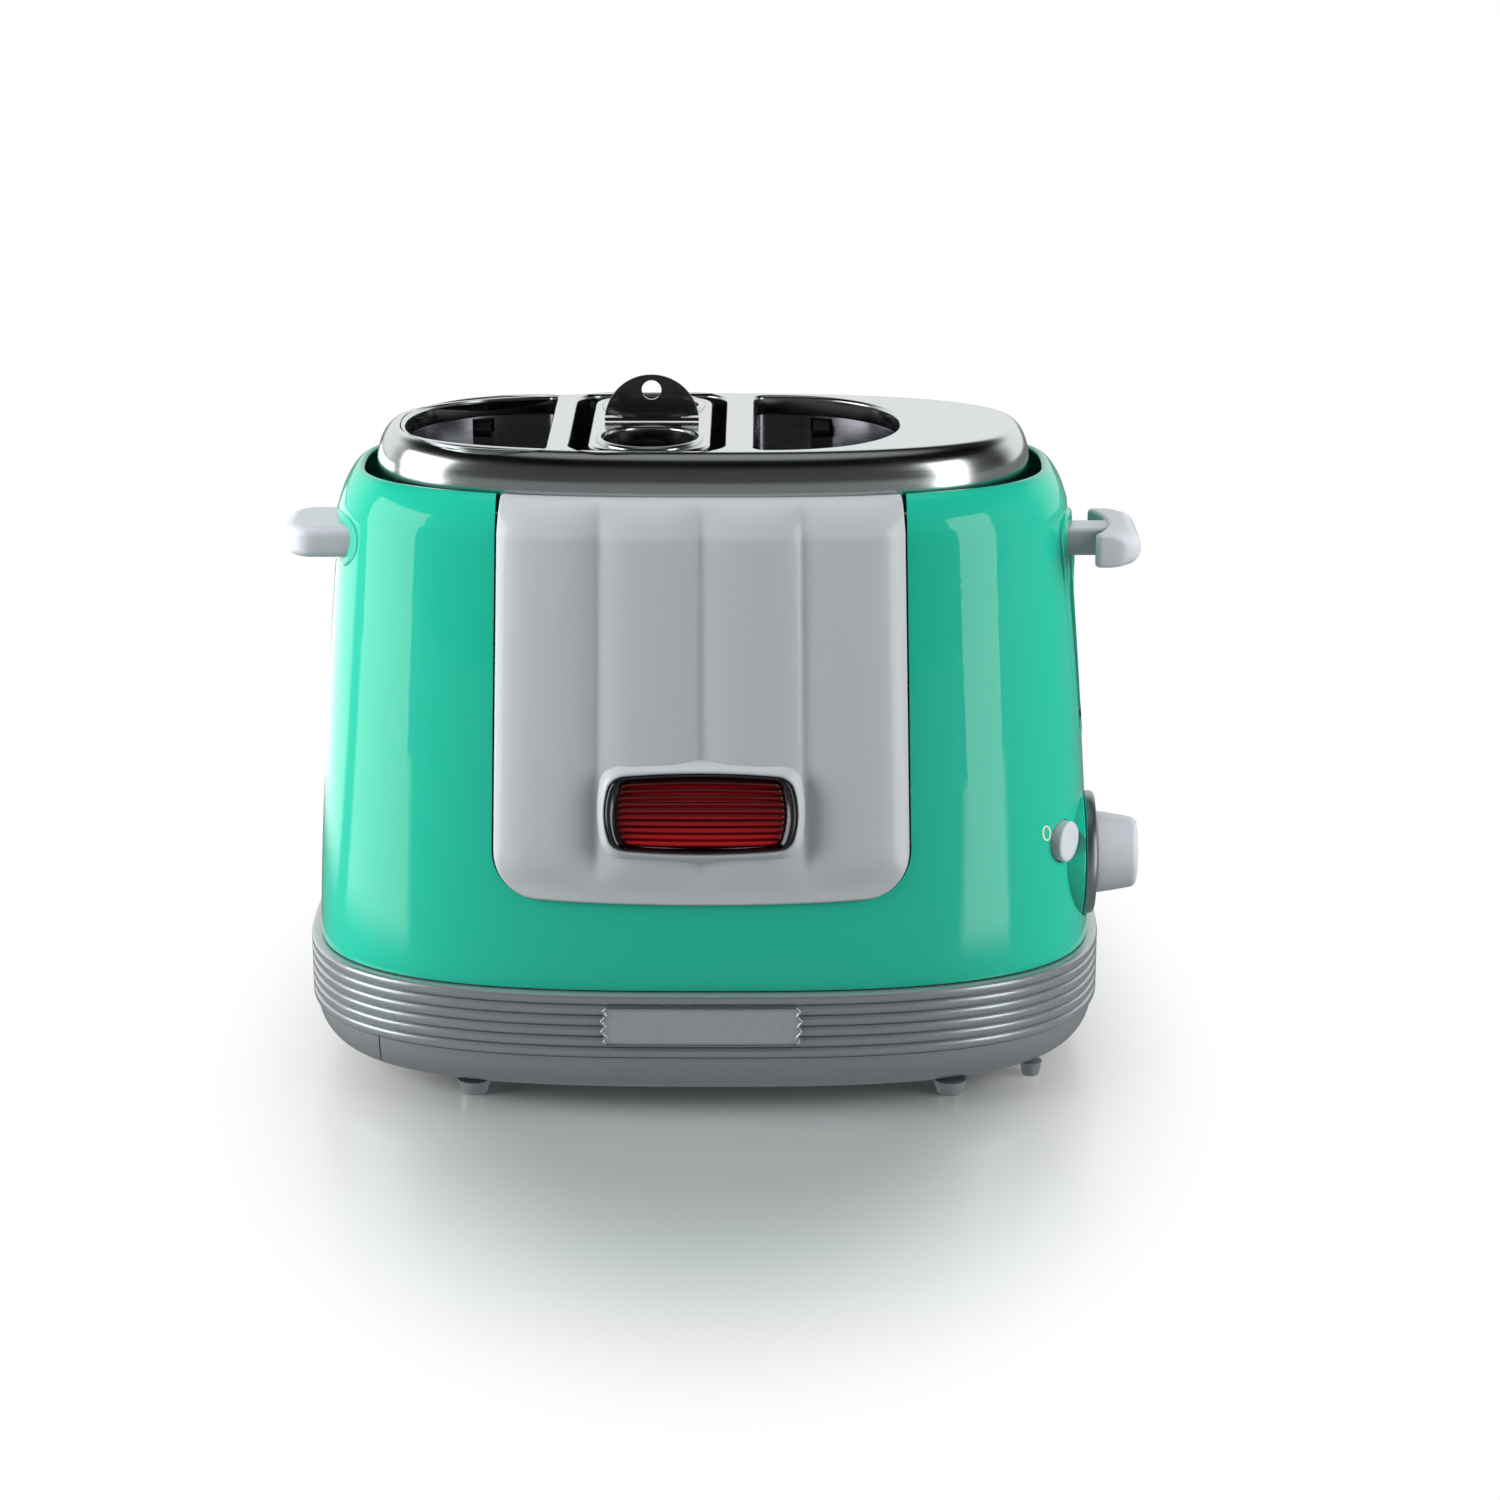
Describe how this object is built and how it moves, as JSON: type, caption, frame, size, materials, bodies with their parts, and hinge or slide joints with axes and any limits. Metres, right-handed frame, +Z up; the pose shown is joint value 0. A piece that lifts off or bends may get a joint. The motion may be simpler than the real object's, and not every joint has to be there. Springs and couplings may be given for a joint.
{
  "type": "hot dog toaster",
  "caption": "Upright hot dog toaster with bun slots, a lift-out sausage cage, a side lever, a timer knob, a stop button and a crumb tray.",
  "frame": {"origin": "centre of the underside of the whole object's box, on the table", "axes": "+X to the lever and knob end, -Y to the front panel, +Z up"},
  "size_m": [0.2732, 0.1596, 0.2225],
  "materials": {
    "shell_paint": "gloss mint green enamel",
    "panel_gloss": "gloss cool white",
    "trim_gloss": "gloss pale grey-white",
    "silver_paint": "satin silver metallic paint",
    "polished_steel": "polished stainless steel",
    "dark_chrome": "dark chrome plating",
    "red_lens": "clear-coated deep red",
    "black_steel": "gloss black coating",
    "black_plastic": "moulded matt",
    "sheet_steel": "plated sheet",
    "mica": "mica board with a wound element",
    "board": "solder mask",
    "copper": "enamelled copper winding",
    "zinc": "zinc plated"
  },
  "bodies": {
    "housing": {"outer_shell": "shell_paint", "front_panel": "panel_gloss", "badge_frame": "dark_chrome", "badge_lens": "red_lens", "name_plate": "silver_paint", "base_band": "silver_paint", "base_pan": "silver_paint", "foot_front_left": "silver_paint", "foot_back_left": "silver_paint", "foot_front_right": "silver_paint", "foot_back_right": "silver_paint", "foot_side_front": "silver_paint", "foot_side_back": "silver_paint", "vent_plate": "black_plastic", "chassis_screw_1": "zinc", "chassis_screw_2": "zinc", "chassis_screw_3": "zinc", "chassis_screw_4": "zinc", "top_lid": "polished_steel", "bun_liner_left": "sheet_steel", "bun_liner_right": "sheet_steel", "heater_left_outer": "mica", "heater_left_inner": "mica", "heater_right_inner": "mica", "heater_right_outer": "mica", "well_plate_front": "sheet_steel", "well_plate_back": "sheet_steel", "chassis_floor": "sheet_steel", "chassis_end_left": "sheet_steel", "chassis_end_right": "sheet_steel", "guide_rod_front": "zinc", "guide_rod_back": "zinc", "guide_bracket": "sheet_steel", "lift_spring": "zinc", "side_grip": "trim_gloss", "dial_plate": "silver_paint", "control_board": "board", "timer_control": "black_plastic", "stop_switch": "black_plastic", "electromagnet": "copper", "terminal_block": "panel_gloss", "cord_gland": "black_plastic"},
    "carriage": {"bun_tray_left": "sheet_steel", "bun_tray_right": "sheet_steel", "cage_platform": "sheet_steel", "carriage_beam": "sheet_steel", "carriage_plate": "sheet_steel", "carriage_block": "black_plastic", "armature": "zinc", "lever_bar": "sheet_steel", "lever_paddle": "trim_gloss"},
    "cage": {"sausage_cage": "polished_steel", "cage_handle": "black_steel"},
    "knob": {"timer_knob": "trim_gloss", "knob_shaft": "zinc"},
    "button": {"stop_button": "trim_gloss"},
    "crumb_drawer": {"crumb_tray": "silver_paint"}
  },
  "joints": [
    {"name": "lever_travel", "type": "slide", "parent": "housing", "child": "carriage", "axis": [0, 0, 1], "range_m": [-0.056, 0], "stiffness_N_per_m": 60, "springref_m": 0.1, "deforming": ["lift_spring"]},
    {"name": "cage_lift", "type": "slide", "parent": "carriage", "child": "cage", "axis": [0, 0, 1], "range_m": [0, 0.13]},
    {"name": "knob_turn", "type": "hinge", "parent": "housing", "child": "knob", "pos_m": [0.12295, -0.0199, 0.0688], "axis": [-1, 0, 0], "range_deg": [0, 270]},
    {"name": "button_press", "type": "slide", "parent": "housing", "child": "button", "axis": [-0.8572, 0.515, 0], "range_m": [0, 0.0025], "stiffness_N_per_m": 500, "springref_m": -0.002},
    {"name": "crumb_tray_slide", "type": "slide", "parent": "housing", "child": "crumb_drawer", "axis": [-1, 0, 0], "range_m": [0, 0.165]}
  ]
}
